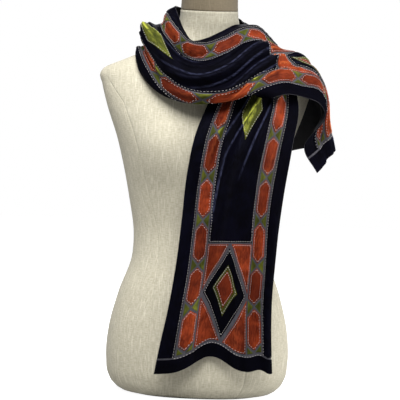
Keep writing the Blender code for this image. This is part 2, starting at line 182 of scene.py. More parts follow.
# A fold runs straight over the cloth from one place to another and dies away at both ends: its height
# is out of the cloth, or into it where negative, and its half width is a share of the cloth's width.
# Its draw is how far it pulls the cloth along, as where a hem is hitched up in an arch.
Fold = namedtuple("Fold", "from_along from_across to_along to_across height half_width draw", defaults=(0,))
FOLDS = named_rows(Fold, (
    # the end that hangs in front
    (0.560, 0.66, 0.180, 0.14, 0.010, 0.080),
    (0.560, 0.50, 0.260, 0.02, -0.006, 0.070),
    (0.400, 0.84, -0.100, 0.74, -0.010, 0.075),
    (0.360, 0.98, -0.080, 0.90, 0.008, 0.060),
    (0.160, 0.18, -0.160, 0.16, 0.010, 0.120),
    (0.240, 0.45, -0.180, 0.42, -0.009, 0.190, 0.028),
    (0.180, 0.84, -0.160, 0.85, -0.006, 0.080, 0.009),
    (0.600, 0.84, 0.340, 0.62, 0.008, 0.050),
    # gathers under the wrap and behind the neck
    (0.500, 0.14, 0.800, 0.16, 0.006, 0.075),
    (0.500, 0.36, 0.800, 0.38, 0.006, 0.070),
    (0.520, 0.62, 0.800, 0.60, 0.006, 0.075),
    (0.500, 0.88, 0.800, 0.86, 0.003, 0.080),
    (0.560, 0.25, 0.980, 0.265, -0.006, 0.050),
    (0.560, 0.49, 0.980, 0.475, -0.007, 0.055),
    (0.560, 0.74, 0.980, 0.69, -0.005, 0.060),
    (0.660, 0.16, 1.040, 0.14, 0.008, 0.070),
    (0.660, 0.37, 1.020, 0.36, 0.010, 0.070),
    (0.660, 0.60, 1.000, 0.56, 0.010, 0.075),
    (0.720, 0.82, 0.980, 0.80, 0.010, 0.070),
    # the bunched folds at the left of the neck
    (0.960, 0.10, 1.240, 0.12, 0.006, 0.070),
    (0.960, 0.25, 1.060, 0.25, -0.006, 0.060),
    (0.990, 0.28, 1.300, 0.34, -0.013, 0.080),
    (0.940, 0.52, 1.120, 0.54, 0.006, 0.150),
    (1.020, 0.50, 1.230, 0.60, 0.014, 0.085),
    (0.960, 0.81, 1.210, 0.82, -0.012, 0.060),
    # across the front
    (1.100, 0.14, 1.440, 0.12, 0.006, 0.060),
    (1.120, 0.74, 1.440, 0.28, 0.009, 0.045),
    (1.150, 0.86, 1.470, 0.46, 0.009, 0.045),
    (1.220, 0.90, 1.470, 0.68, 0.006, 0.045),
    # over the right shoulder
    (1.320, 0.10, 1.480, 0.08, 0.008, 0.060),
    (1.340, 0.24, 1.540, 0.22, -0.007, 0.070),
    (1.380, 0.38, 1.620, 0.36, 0.008, 0.070),
    (1.400, 0.50, 1.700, 0.48, -0.005, 0.050),
    (1.420, 0.62, 1.720, 0.60, 0.006, 0.060),
    (1.460, 0.78, 1.720, 0.80, -0.007, 0.060),
))

# Softer and finer creases than the solids have, in the same columns
CREASES = named_rows(Fold, (
    # the end that hangs in front
    (0.540, 0.30, 0.330, 0.16, 0.0045, 0.030),
    (0.540, 0.46, 0.300, 0.30, -0.0040, 0.028),
    (0.540, 0.58, 0.350, 0.40, 0.0050, 0.028),
    (0.520, 0.72, 0.380, 0.60, 0.0040, 0.026),
    (0.480, 0.88, 0.300, 0.74, 0.0030, 0.030),
    (0.380, 0.44, 0.140, 0.36, 0.0035, 0.035),
    (0.330, 0.60, 0.060, 0.56, -0.0030, 0.040),
    (0.280, 0.30, 0.020, 0.32, -0.0025, 0.040),
    (0.240, 0.62, -0.060, 0.62, 0.0040, 0.045),
    (0.200, 0.22, -0.060, 0.28, 0.0035, 0.035),
    (0.150, 0.38, -0.060, 0.39, -0.0030, 0.035),
    (0.130, 0.72, -0.060, 0.70, -0.0035, 0.040),
    # behind the neck
    (0.720, 0.30, 0.960, 0.32, 0.0035, 0.025),
    (0.700, 0.54, 0.940, 0.50, 0.0035, 0.025),
    (0.740, 0.08, 0.960, 0.06, -0.0030, 0.025),
    (0.760, 0.70, 0.930, 0.66, 0.0030, 0.025),
    (0.740, 0.92, 0.920, 0.90, 0.0025, 0.025),
    # the bunched folds at the left of the neck
    (1.000, 0.40, 1.160, 0.44, 0.0045, 0.026),
    (1.000, 0.62, 1.150, 0.68, 0.0040, 0.026),
    (1.020, 0.17, 1.200, 0.20, 0.0030, 0.026),
    (1.040, 0.90, 1.180, 0.86, 0.0030, 0.026),
    (1.050, 0.74, 1.200, 0.72, -0.0030, 0.024),
    # across the front
    (1.110, 0.56, 1.380, 0.20, 0.0030, 0.024),
    (1.160, 0.68, 1.410, 0.28, 0.0042, 0.017),
    (1.180, 0.76, 1.440, 0.40, -0.0028, 0.022),
    (1.230, 0.82, 1.440, 0.46, 0.0036, 0.016),
    (1.300, 0.84, 1.460, 0.58, 0.0030, 0.016),
    (1.120, 0.36, 1.300, 0.14, -0.0035, 0.022),
    (1.100, 0.80, 1.220, 0.70, 0.0035, 0.022),
    # over the right shoulder
    (1.380, 0.18, 1.560, 0.16, 0.0035, 0.022),
    (1.400, 0.32, 1.560, 0.30, 0.0035, 0.022),
    (1.430, 0.56, 1.640, 0.54, 0.0040, 0.026),
    (1.440, 0.70, 1.650, 0.70, 0.0040, 0.026),
    (1.450, 0.44, 1.640, 0.42, -0.0030, 0.024),
    (1.480, 0.90, 1.640, 0.90, -0.0035, 0.030),
))

# Fine sharp creases, each with a highlight painted along it on the nap, in the same columns
HIGHLIGHT_CREASES = named_rows(Fold, (
    # across the front
    (1.120, 0.68, 1.400, 0.25, 0.0015, 0.0075),
    (1.190, 0.74, 1.430, 0.32, 0.0016, 0.0080),
    (1.270, 0.70, 1.440, 0.41, 0.0014, 0.0075),
    (1.250, 0.86, 1.450, 0.51, 0.0015, 0.0080),
    (1.090, 0.44, 1.240, 0.29, 0.0012, 0.0075),
    # the bunched folds at the left of the neck
    (0.990, 0.47, 1.130, 0.52, 0.0015, 0.0085),
    (1.010, 0.25, 1.120, 0.28, 0.0014, 0.0085),
    # the end that hangs in front
    (0.560, 0.66, 0.370, 0.30, 0.0014, 0.0085),
    (0.560, 0.52, 0.400, 0.24, 0.0013, 0.0080),
    (0.540, 0.74, 0.340, 0.50, 0.0014, 0.0085),
    (0.420, 0.36, 0.240, 0.27, 0.0012, 0.0080),
    # behind the neck and over the right shoulder
    (0.700, 0.42, 0.930, 0.40, 0.0014, 0.0085),
    (0.720, 0.62, 0.920, 0.59, 0.0014, 0.0085),
    (1.420, 0.50, 1.600, 0.48, 0.0014, 0.0085),
    (1.440, 0.64, 1.630, 0.62, 0.0014, 0.0085),
))

# the patchwork, laid out flat

PILE = 0.0011  # how far a patch of pile stands off the backing
SINK = 0.0004  # how far a patch's edge lies in the backing
PATCH_ROUND = 0.0013  # how far in from its edge a patch reaches its full height
PATCH_EDGE = (0.0, 0.0004, 0.0009, 0.0016)  # the close rows at a patch's edge
PATCH_CELL = 0.0021  # between a patch's points
NO_WIDTH = 0.00001  # a patch's end row narrower than this is a point
STRIP = 0.0030  # backing that shows between patches
BORDER = 0.0290  # the width of the plain border
BAND = 0.0270  # the width of a band of hexagons
MOTIFS_IN_BAND = 19
MOTIF_POINT = 0.0130
TRIANGLE_TIP = 0.0016
FIELD_LOW = BORDER + BAND + 2 * STRIP
FIELD_HIGH = CLOTH_WIDTH - BORDER - BAND - 2 * STRIP
HEM_EDGE = 0.0003  # backing that shows at the cloth's own edges
BLOCK_LENGTH = 0.200
ON_PATCH = PILE * 0.6  # how far a patch is raised that lies on another, and on two
ON_TWO = PILE * 1.2
BLOCK_DIAMONDS = (("olive", 0.56, ON_PATCH), ("rust", 0.42, ON_TWO))  # each with its share of the block
FIELD_DIAMONDS = (0.480, 0.800, 1.120)
FIELD_DIAMOND_LENGTH = 0.120
FIELD_DIAMOND_WIDTH = 0.046
# The painted highlight on the folds: how far to each side a fold is measured, the height that gives it in
# full, and its strength on each velvet
RIDGE_REACH = 0.021  # as a share of the cloth's width
RIDGE_HEIGHT = 0.0040
FOLD_HIGHLIGHT = {"navy": 0.10, "rust": 0.45, "olive": 0.55}

STITCH = 0.0026
STITCH_GAP = 0.0024
STITCH_INSET = 0.0020
THREAD = 0.00030  # the thread's radius
THREAD_SIDES = 4
# The thread of a stitch: the share of its length, and its height over the pile and its thickness
THREAD_PROFILE = ((0.0, -0.3, 0.55), (0.22, 0.75, 1.0), (0.78, 0.75, 1.0), (1.0, -0.3, 0.55))

# Small puckers that the stitching draws up beside each long seam
PUCKER = 0.0006
PUCKER_LENGTH = 0.017
PUCKER_REACH = 0.008
LONG_SEAMS = (BORDER, BORDER + BAND + STRIP, CLOTH_WIDTH - BORDER - BAND - STRIP, CLOTH_WIDTH - BORDER)

# A patch: its velvet, its outline laid flat, how far it is raised, and whether it is stitched round
Patch = namedtuple("Patch", "velvet outline level stitched", defaults=(0, True))

# looks

# A velvet: where its nap lies away from the light, where it leans over, the highlight painted on its
# folds and creases, its sheen's tint, how clear its streaks are, and its sheen and gloss
Velvet = namedtuple("Velvet", "deep lit rubbed tint streaks sheen gloss")
VELVETS = {
    "navy": Velvet(
        (0.0007, 0.0006, 0.0013), (0.0016, 0.0016, 0.0058), (0.030, 0.033, 0.064), (0.16, 0.18, 0.50),
        0.8, 0.03, 0.02,
    ),
    "rust": Velvet(
        (0.055, 0.0070, 0.0028), (0.26, 0.037, 0.0100), (0.54, 0.125, 0.033), (1.0, 0.36, 0.18),
        0.9, 0.22, 0.06,
    ),
    "olive": Velvet(
        (0.022, 0.026, 0.005), (0.105, 0.113, 0.014), (0.42, 0.45, 0.060), (0.80, 0.90, 0.25),
        0.8, 0.22, 0.06,
    ),
}
VELVET_SHEEN_ROUGHNESS = 0.30
CLOTH_GLOSS = 0.25
WHITE = (1.0, 1.0, 1.0)

# A woven cloth: its yarn's colour, that of its slubs and of its gaps, how fine it is, the height of
# its weave, its sheen, and the share of its colour that is left at the neck seam under painted shade
Weave = namedtuple("Weave", "base pale dark yarns relief sheen neck_share", defaults=(0.1, 1.0))
CHIFFON = Weave((0.052, 0.050, 0.060), (0.085, 0.082, 0.096), (0.030, 0.029, 0.036), 700.0, 0.0001)
LINING = Weave((0.0045, 0.0045, 0.0085), (0.009, 0.009, 0.016), (0.0025, 0.0025, 0.0050), 700.0, 0.0001, 0.03)
LINEN = Weave((0.52, 0.486, 0.380), (0.68, 0.645, 0.525), (0.385, 0.355, 0.270), 540.0, 0.0005, 0.1, 0.60)
# The neck cap's linen: browner and darker than the torso's, partly its own tone and partly painted shade
CAP_LINEN = Weave((0.155, 0.126, 0.083), (0.188, 0.154, 0.104), (0.130, 0.104, 0.067), 540.0, 0.0004)
THREAD_SHADES = ((0.40, 0.375, 0.36), (0.68, 0.65, 0.63))

CAMERA_PLACE = (-0.0047, -1.9, 0.355)
CAMERA_TURN = 2.1  # degrees
CAMERA_LENS = 91.9  # millimetres, as the sensor
CAMERA_SENSOR = 36.0
Light = namedtuple("Light", "name place size watts target")
LIGHTS = (
    Light("key", (-0.12, -1.22, 1.95), 1.6, 78, (0, 0, 0.58)),
    Light("right", (2.0, -0.35, 0.4), 0.9, 34, (0, 0, 0.25)),
    Light("left", (-2.0, 0.3, 0.5), 0.9, 5, (0, 0, 0.35)),
    Light("back", (0.3, 1.9, 1.3), 1.2, 26, (0, 0, 0.4)),
)
ROOM_LIGHT = 0.14  # the room's light on the things in it, while it looks white itself
FLOOR_RADIUS = 14.0
FLOOR_SIDES = 96
FLOOR_COLOUR = (0.40, 0.40, 0.40)
FLOOR_GLOW = 0.94  # what the floor adds where the camera sees it

# shapes

def columns(table):
    """The table's columns by name, each as an array."""
    return dict(zip(table[0]._fields, np.array(table, float).T))


def curve_through(knots, values, places):
    """A smooth curve through the values at the knots: cubic Hermite pieces whose slope at each knot
    is the weighted mean of the two chords that meet there."""
    steps = np.diff(knots)
    chords = np.diff(values) / steps
    means = (chords[:-1] * steps[1:] + chords[1:] * steps[:-1]) / (steps[:-1] + steps[1:])
    slopes = np.concatenate([chords[:1], means, chords[-1:]])
    i = np.clip(np.searchsorted(knots, places) - 1, 0, len(steps) - 1)
    step = steps[i]
    x = (places - knots[i]) / step
    return (
        (2 * x**3 - 3 * x**2 + 1) * values[i]
        + (x**3 - 2 * x**2 + x) * step * slopes[i]
        + (3 * x**2 - 2 * x**3) * values[i + 1]
        + (x**3 - x**2) * step * slopes[i + 1]
    )


def steady(x):
    """A step from 0 to 1 that starts and ends level."""
    x = np.clip(x, 0, 1)
    return x * x * (3 - 2 * x)


def unit(vectors):
    """The vectors at length 1."""
    return vectors / np.maximum(np.linalg.norm(vectors, axis=-1, keepdims=True), 1e-12)


RING_COLUMNS = columns(FORM_RINGS)
SECTION_COLUMNS = columns(SECTIONS)


def ring_size(name, height):
    """A measure of the form's rings at any height, by a smooth curve through the table."""
    height = np.clip(height, RING_COLUMNS["height"][0], RING_COLUMNS["height"][-1])
    return curve_through(RING_COLUMNS["height"], RING_COLUMNS[name], height)


def section_size(name, along):
    """A measure of the cloth's sections at any place along it, in the same way."""
    return curve_through(SECTION_COLUMNS["along"], SECTION_COLUMNS[name], along)


def bust_depth(x, height):
    """How far the bust stands out in front of a plain ring: two round swellings."""
    across = np.exp(-(((x - BUST_X) / BUST_SPREAD_X) ** 2)) + np.exp(-(((x + BUST_X) / BUST_SPREAD_X) ** 2))
    return BUST_RISE * across * np.exp(-(((height - BUST_HEIGHT) / BUST_SPREAD_Z) ** 2))


def form_level(points):
    """Below 0 inside the form and above 0 outside it, from the squared ellipse at each point's ring."""
    x, y, z = points[..., 0], points[..., 1], points[..., 2]
    height = z - ring_size("slope", z) * (y - ring_size("centre_y", z))
    y = y - ring_size("centre_y", height)
    front = ring_size("front", height) + bust_depth(x, height)
    depth = np.where(y < 0, front, ring_size("back", height))
    power = ring_size("square", height)
    share = (np.abs(x) / ring_size("half_width", height)) ** power + (np.abs(y) / depth) ** power
    return share ** (1 / power) - 1


def form_distance(points):
    """The distance to the form's surface, to first order, and the way straight out of it."""
    step = 0.0005
    level = form_level(points)
    rises = [form_level(points + way) - form_level(points - way) for way in step * np.eye(3)]
    rise = np.stack(rises, axis=-1) / (2 * step)
    steepness = np.linalg.norm(rise, axis=-1)
    return level / np.maximum(steepness, 1e-6), rise / np.maximum(steepness, 1e-6)[..., None]


def lift_off_form(points, clearance):
    """The points, with each that is nearer the form than the clearance moved straight out to it."""
    for _ in range(LIFT_ROUNDS):
        distance, out = form_distance(points)
        points = points + out * np.clip(clearance - distance, 0, LIFT_LIMIT)[..., None]
    return points


def plain(along, share):
    """The cloth with no folds: on each line across, one even curve through its edges and its middle."""
    inner, middle, outer = (
        np.stack([section_size(f"{place}_{axis}", along) for axis in "xyz"], axis=-1)
        for place in ("inner", "middle", "outer")
    )
    share = share[..., None]
    return (
        inner * (1 - share) * (1 - 2 * share)
        + middle * 4 * share * (1 - share)
        + outer * share * (2 * share - 1)
    )


def ridges(folds, along, across):
    """For each fold of a table, a round ridge from 0 to 1: the bell curve of the distance from a
    straight line, which fades in and out along it."""
    for fold in folds:
        share = (along - fold.from_along) / (fold.to_along - fold.from_along)
        middle = fold.from_across + (fold.to_across - fold.from_across) * share
        fade = steady(share / FOLD_FADE) * steady((1 - share) / FOLD_FADE)
        yield fold, fade * np.exp(-(((across - middle) / fold.half_width) ** 2))


def folded(along, across):
    """How far the folds and creases move the cloth out, and how far along: the sums of their ridges."""
    out = np.zeros(np.broadcast(along, across).shape)
    drawn = np.zeros_like(out)
    for fold, ridge in ridges(FOLDS + CREASES + HIGHLIGHT_CREASES, along, across):
        out = out + fold.height * ridge
        drawn = drawn + fold.draw * ridge
    return out, drawn


def cloth(along, across):
    """The middle of the cloth at (along, across), and the way the cloth runs along there: the plain
    cloth, the folds out of it, and the outer edge turned under on an arc and then straight."""
    step = 0.002
    under = np.maximum(section_size("under", along), 0)
    angle = np.radians(np.maximum(section_size("under_angle", along), 0.5))
    flat_part = 1 - under / CLOTH_WIDTH
    share = np.minimum(across, flat_part)
    edge_share = share / flat_part
    side = unit(plain(along, edge_share) - plain(along, edge_share - step))
    ahead = unit(plain(along + step, edge_share) - plain(along - step, edge_share))
    out = unit(np.cross(side, ahead))
    turned = np.maximum(across - flat_part, 0) * CLOTH_WIDTH
    bend = angle / TURN_LENGTH
    on_arc = np.minimum(turned, TURN_LENGTH)
    beyond = turned - on_arc
    onward = np.sin(bend * on_arc) / bend + beyond * np.cos(angle)
    inward = (1 - np.cos(bend * on_arc)) / bend + beyond * np.sin(angle)
    height, drawn = folded(along, share)
    points = plain(along, edge_share) + side * onward[..., None] + out * (height - inward)[..., None]
    return lift_off_form(points + ahead * drawn[..., None], WALL / 2 + CLEAR_OF_FORM), ahead


def puckers(along, metres_across):
    """Small ripples that cross each long seam: a sine along the cloth, its phase and height different
    from seam to seam and slowly changing, under a bell curve of the distance from the seam."""
    height = np.zeros_like(along)
    for k, seam in enumerate(LONG_SEAMS):
        turns = 2 * math.pi * along / PUCKER_LENGTH + 1.9 * k + 1.6 * np.sin(along * (31 + 5 * k) + k)
        swell = 0.6 + 0.4 * np.sin(along * (23 - 3 * k) + 2 * k)
        height = height + swell * np.sin(turns) * np.exp(-(((metres_across - seam) / PUCKER_REACH) ** 2))
    return PUCKER * height


def on_cloth(along, metres_across, rise):
    """Points that stand off the cloth's middle by rise and by its puckers, along its normal: the cross
    product of the way across it and the way along it. Also that normal."""
    across = metres_across / CLOTH_WIDTH
    step = 0.001
    middle, ahead = cloth(along, across)
    side = cloth(along, across + step)[0] - cloth(along, across - step)[0]
    out = unit(np.cross(side, ahead))
    return middle + out * (rise + puckers(along, metres_across))[..., None], out


def rubbed(along, across, fold_highlight):
    """Where a highlight is painted on the nap, from 0 to 1: fully along the fine creases, and less on
    each fold, by how far it stands over the cloth to each side of it."""
    here = folded(along, across)[0]
    beside = (folded(along, across - RIDGE_REACH)[0] + folded(along, across + RIDGE_REACH)[0]) / 2
    on_folds = fold_highlight * steady((here - beside) / RIDGE_HEIGHT)
    on_lines = sum(ridge for _, ridge in ridges(HIGHLIGHT_CREASES, along, across))
    return np.clip(on_folds + on_lines, 0, 1)


def grid_quads(rows, points_in_row, closed=False):
    """Four-cornered faces of a grid of points stored row by row, and joined round if closed."""
    row = np.arange(rows - 1)[:, None] * points_in_row
    near = np.arange(points_in_row if closed else points_in_row - 1)[None, :]
    far = (near + 1) % points_in_row
    after = row + points_in_row
    return np.stack([row + near, row + far, after + far, after + near], axis=-1).reshape(-1, 4)


def add_object(name, data):
    """An object that holds the data, put in the scene."""
    thing = bpy.data.objects.new(name, data)
    bpy.context.scene.collection.objects.link(thing)
    return thing


def add_piece(name, points, faces, materials, slots=None, uv=None, marks=None, all_smooth=False):
    """A mesh object at the origin, from points and tables of faces. Faces with four corners are smooth,
    and the others too if all are. uv holds places at the points, or at the faces' corners if there are
    as many, and marks is a table of named numbers at the points."""
    corners = np.concatenate([table.ravel() for table in faces])
    counts = np.concatenate([np.full(len(table), table.shape[1]) for table in faces])
    mesh = bpy.data.meshes.new(name)
    mesh.vertices.add(len(points))
    mesh.vertices.foreach_set("co", np.ascontiguousarray(points, np.float32).ravel())
    mesh.loops.add(len(corners))
    mesh.loops.foreach_set("vertex_index", corners.astype(np.int32))
    mesh.polygons.add(len(counts))
    mesh.polygons.foreach_set("loop_start", (np.cumsum(counts) - counts).astype(np.int32))
    mesh.polygons.foreach_set("use_smooth", (counts == 4) | all_smooth)
    if slots is not None:
        mesh.polygons.foreach_set("material_index", slots.astype(np.int32))
    if uv is not None:
        at_corners = uv if len(uv) == len(corners) else uv[corners]
        layer = mesh.uv_layers.new(name="cloth")
        layer.data.foreach_set("uv", at_corners.astype(np.float32).ravel())
    for label, values in (marks or {}).items():
        mesh.attributes.new(label, "FLOAT", "POINT").data.foreach_set("value", values.astype(np.float32))
    for material in materials:
        mesh.materials.append(material)
    mesh.update()
    mesh.validate()
    return add_object(name, mesh)


# the dress form

def ring_point(height, angle):
    """A point of the form's outline: the squared ellipse at a height, by its angle."""
    size = {name: ring_size(name, height) for name in Ring._fields[1:]}
    power = 2 / size["square"]
    x = size["half_width"] * np.sign(np.cos(angle)) * np.abs(np.cos(angle)) ** power
    depth = np.where(np.sin(angle) < 0, size["front"] + bust_depth(x, height), size["back"])
    y = depth * np.sign(np.sin(angle)) * np.abs(np.sin(angle)) ** power
    return np.stack([x, y + size["centre_y"], height + size["slope"] * y], axis=-1)


def seam_angle(share, square):
    """The angle of the point on a squared ellipse whose x is that share of the half width."""
    return np.arccos(np.clip(share, 0, 1) ** (square / 2))


def fan(ring, middle, upwards):
    """Triangles from a ring of points to its middle point."""
    after = np.roll(ring, -1)
    pair = (ring, after) if upwards else (after, ring)
    return np.stack([*pair, np.full(len(ring), middle)], axis=-1)


def add_closed_loft(name, rings, panels, linen):
    """A closed piece through rings of points, each end closed by a fan. panels gives, for each column,
    the columns where its panel of linen starts and ends. A panel's grain runs straight up its middle:
    its uv is the length along the ring from there, and the height."""
    rows, around = rings.shape[:2]
    closed = np.concatenate([rings, rings[:, :1]], axis=1)
    length = np.cumsum(np.linalg.norm(np.diff(closed, axis=1), axis=-1), axis=1)
    length = np.concatenate([np.zeros((rows, 1)), length], axis=1)
    middle = (length[:, panels[:, 0]] + length[:, panels[:, 1]]) / 2
    shift = panels[:, 0] * PANEL_SHIFT
    near = np.stack([length[:, :-1] - middle + shift, rings[..., 2]], axis=-1)
    far = np.stack([length[:, 1:] - middle + shift, closed[:, 1:, 2]], axis=-1)
    sides_uv = np.stack([near[:-1], far[:-1], far[1:], near[1:]], axis=2).reshape(-1, 2)
    count = rows * around
    points = np.concatenate([rings.reshape(-1, 3), rings[:1].mean(axis=1), rings[-1:].mean(axis=1)])
    fans = np.concatenate([
        fan(np.arange(around), count, False),
        fan(count - around + np.arange(around), count + 1, True),
    ])
    uv = np.concatenate([sides_uv, points[fans.ravel(), :2]])
    return add_piece(name, points, [grid_quads(rows, around, closed=True), fans], [linen], uv=uv)


def add_torso(linen):
    """The linen torso: rings of the form, with columns that follow the two side seams and the four
    princess seams, each seam a narrow groove pressed in along the ring's own radius."""
    count = round(NECK_SEAM / FORM_CELL)
    heights = np.unique(np.concatenate([np.linspace(0, NECK_SEAM, count + 1), RING_COLUMNS["height"][:4]]))
    seams = columns(FORM_SEAMS)
    square = ring_size("square", heights)
    front = seam_angle(np.interp(heights, seams["height"], seams["front"]), square)
    back = seam_angle(np.interp(heights, seams["height"], seams["back"]), square)
    front_depth = np.interp(heights, seams["height"], seams["front_depth"])
    back_depth = np.interp(heights, seams["height"], seams["back_depth"])
    side_depth = steady((SIDE_SEAM_TOP - heights) / SIDE_SEAM_FADE)
    zero = np.zeros_like(heights)
    half_turn = zero + math.pi
    stops = [zero, back, math.pi - back, half_turn, half_turn + front, 2 * half_turn - front, 2 * half_turn]
    depths = [side_depth, back_depth, back_depth, side_depth, front_depth, front_depth, side_depth]
    groove_side = SEAM_COLUMNS[-1] / FORM_RADIUS
    angles, grooves, panels = [], [], []
    for near, far, near_depth, far_depth in zip(stops[:-1], stops[1:], depths[:-1], depths[1:]):
        first = len(angles)
        angles += [near + offset / FORM_RADIUS for offset in SEAM_COLUMNS[2:]]
        grooves += [near_depth, near_depth * GROOVE_SIDE, zero]
        between = max(4, round(float(np.mean(far - near)) * FORM_RADIUS / FORM_CELL))
        shares = np.arange(1, between) / between
        angles += [near + groove_side + (far - near - 2 * groove_side) * share for share in shares]
        grooves += [zero] * (between - 1)
        angles += [far + offset / FORM_RADIUS for offset in SEAM_COLUMNS[:2]]
        grooves += [zero, far_depth * GROOVE_SIDE]
        panels += [(first, len(angles))] * (len(angles) - first)
    angle = np.stack(angles, axis=1)
    groove = np.stack(grooves, axis=1) * SEAM_DEPTH
    rings = ring_point(np.broadcast_to(heights[:, None], angle.shape), angle)
    axis = np.stack([zero, ring_size("centre_y", heights), heights], axis=-1)[:, None, :]
    rings = rings - unit(rings - axis) * groove[..., None]
    return add_closed_loft("linen_torso", rings, np.array(panels), linen)


def add_neck_cap(linen):
    """The neck cap: rings from the neck seam, which is drawn in a little, up to the rim, which is
    rounded on a quarter circle, and then in over the top."""
    angle = math.pi / 2 + np.arange(CAP_SIDES) * 2 * math.pi / CAP_SIDES
    straight = np.linspace(NECK_SEAM + CAP_FIRST_ROW, FORM_TOP - CAP_ROUNDING, CAP_ROWS)
    heights = np.concatenate([[NECK_SEAM, NECK_SEAM + CAP_FOOT_HEIGHT], straight])
    sides = ring_point(np.broadcast_to(heights[:, None], (len(heights), CAP_SIDES)), angle) + [0, 0, SEAM_GAP]
    foot = np.append(sides[0, :, :2].mean(axis=0), 0)
    sides[0] = foot + (sides[0] - foot) * [CAP_FOOT, CAP_FOOT, 1]
    rim = ring_point(np.full(CAP_SIDES, FORM_TOP), angle)
    middle = rim.mean(axis=0)
    turn = np.linspace(0.15, 0.5, 8)[:, None, None] * math.pi  # eight rows of the rounding
    inset = CAP_ROUNDING * (1 - np.cos(turn)) / RING_COLUMNS["half_width"][-1]
    drop = CAP_ROUNDING * (1 - np.sin(turn))
    rounding = middle + (rim - middle) * (1 - inset) - drop * [0, 0, 1]
    top = middle + (rounding[-1] - middle) * np.array([0.75, 0.5, 0.25])[:, None, None]
    rings = np.concatenate([sides, rounding, top])
    return add_closed_loft("linen_neck_cap", rings, np.array([(0, CAP_SIDES)] * CAP_SIDES), linen)


# the patches

def rectangle(from_along, to_along, from_across, to_across):
    """A rectangle's outline. Every outline goes round from along towards across."""
    return np.array([
        [from_along, from_across], [to_along, from_across], [to_along, to_across], [from_along, to_across],
    ])


def diamond(along, across, length, width):
    """A diamond's outline, by its middle and its diagonals."""
    half, side = length / 2, width / 2
    return np.array([along, across]) + [[-half, 0], [0, -side], [half, 0], [0, side]]


def long_hexagon(along, across, length, width, point):
    """The outline of a strip with both ends cut to a point, by its middle."""
    half, side = length / 2, width / 2
    cut = half - point
    corners = [[-half, 0], [-cut, -side], [cut, -side], [half, 0], [cut, side], [-cut, side]]
    return np.array([along, across]) + corners


def inset_outline(outline, inset):
    """A convex outline with every side moved in: each corner goes to where its two moved sides meet."""
    ahead = unit(np.roll(outline, -1, axis=0) - outline)
    inward = np.stack([-ahead[:, 1], ahead[:, 0]], axis=-1)
    before, before_in = np.roll(ahead, 1, axis=0), np.roll(inward, 1, axis=0)
    cross = before[:, 0] * ahead[:, 1] - before[:, 1] * ahead[:, 0]
    gap = (inward - before_in) * inset
    reach = (gap[:, 0] * ahead[:, 1] - gap[:, 1] * ahead[:, 0]) / cross
    return outline + before_in * inset + before * reach[:, None]


def edge_distance(outline, along, across):
    """The distance from each place to the nearest side of a convex outline."""
    ahead = unit(np.roll(outline, -1, axis=0) - outline)
    distance = np.full(along.shape, np.inf)
    for (start_along, start_across), (run_along, run_across) in zip(outline, ahead):
        off = (across - start_across) * run_along - (along - start_along) * run_across
        distance = np.minimum(distance, off)
    return np.maximum(distance, 0)


def patch_points(outline, level):
    """A patch on the cloth: a grid over its outline, with close rows at its edges. It stands off the
    backing by the pile, less near its edge, where it follows a quarter circle down into the backing."""
    chain = np.roll(outline, -outline[:, 0].argmin(), axis=0)
    last = chain[:, 0].argmax()
    low, high = chain[: last + 1], np.concatenate([chain[last:], chain[:1]])[::-1]
    if high[1, 0] - high[0, 0] < NO_WIDTH:
        high = high[1:]
    if high[-1, 0] - high[-2, 0] < NO_WIDTH:
        high = high[:-1]
    start, end = chain[0, 0], chain[last, 0]
    edge = np.array(PATCH_EDGE)
    middle = np.linspace(start + edge[-1], end - edge[-1], max(3, round((end - start) / PATCH_CELL)))
    rows = np.unique(np.round(np.concatenate([start + edge, middle, end - edge, outline[:, 0]]), 6))
    lowest, highest = np.interp(rows, *low.T), np.interp(rows, *high.T)
    width = highest - lowest
    between = max(2, round(width.max() / PATCH_CELL))
    left = edge * np.minimum(1, width / (3 * edge[-1]))[:, None]
    right = width[:, None] - left[:, ::-1]
    span = (right[:, :1] - left[:, -1:]) * (np.arange(1, between) / between)
    across = lowest[:, None] + np.concatenate([left, left[:, -1:] + span, right], axis=1)
    along = np.broadcast_to(rows[:, None], across.shape)
    share = np.clip(edge_distance(outline, along, across) / PATCH_ROUND, 0, 1)
    rise = level - SINK + (PILE + SINK) * np.sqrt(1 - (1 - share) ** 2)
    return on_cloth(along, across, rise)[0], along, across


def end_block(start, end):
    """The block at one end of the field: a long diamond with smaller diamonds laid on it, and four
    corner triangles round it."""
    along, across = (start + end) / 2, (FIELD_LOW + FIELD_HIGH) / 2
    length, width = end - start, FIELD_HIGH - FIELD_LOW
    gap = 2 * STRIP * math.hypot(length, width)
    patches = [Patch("navy", diamond(along, across, length - gap / width, width - gap / length))]
    for velvet, share, level in BLOCK_DIAMONDS:
        patches.append(Patch(velvet, diamond(along, across, length * share, width * share), level))
    for s in (-1, 1):
        for t in (-1, 1):
            corner = [along + s * length / 2, across + t * width / 2]
            by_end = [corner[0], across + t * STRIP]
            by_side = [along + s * STRIP * length / width, corner[1]]
            outline = np.array([corner, by_end, by_side])
            patches.append(Patch("rust", outline[::-1] if s * t > 0 else outline))
    return patches


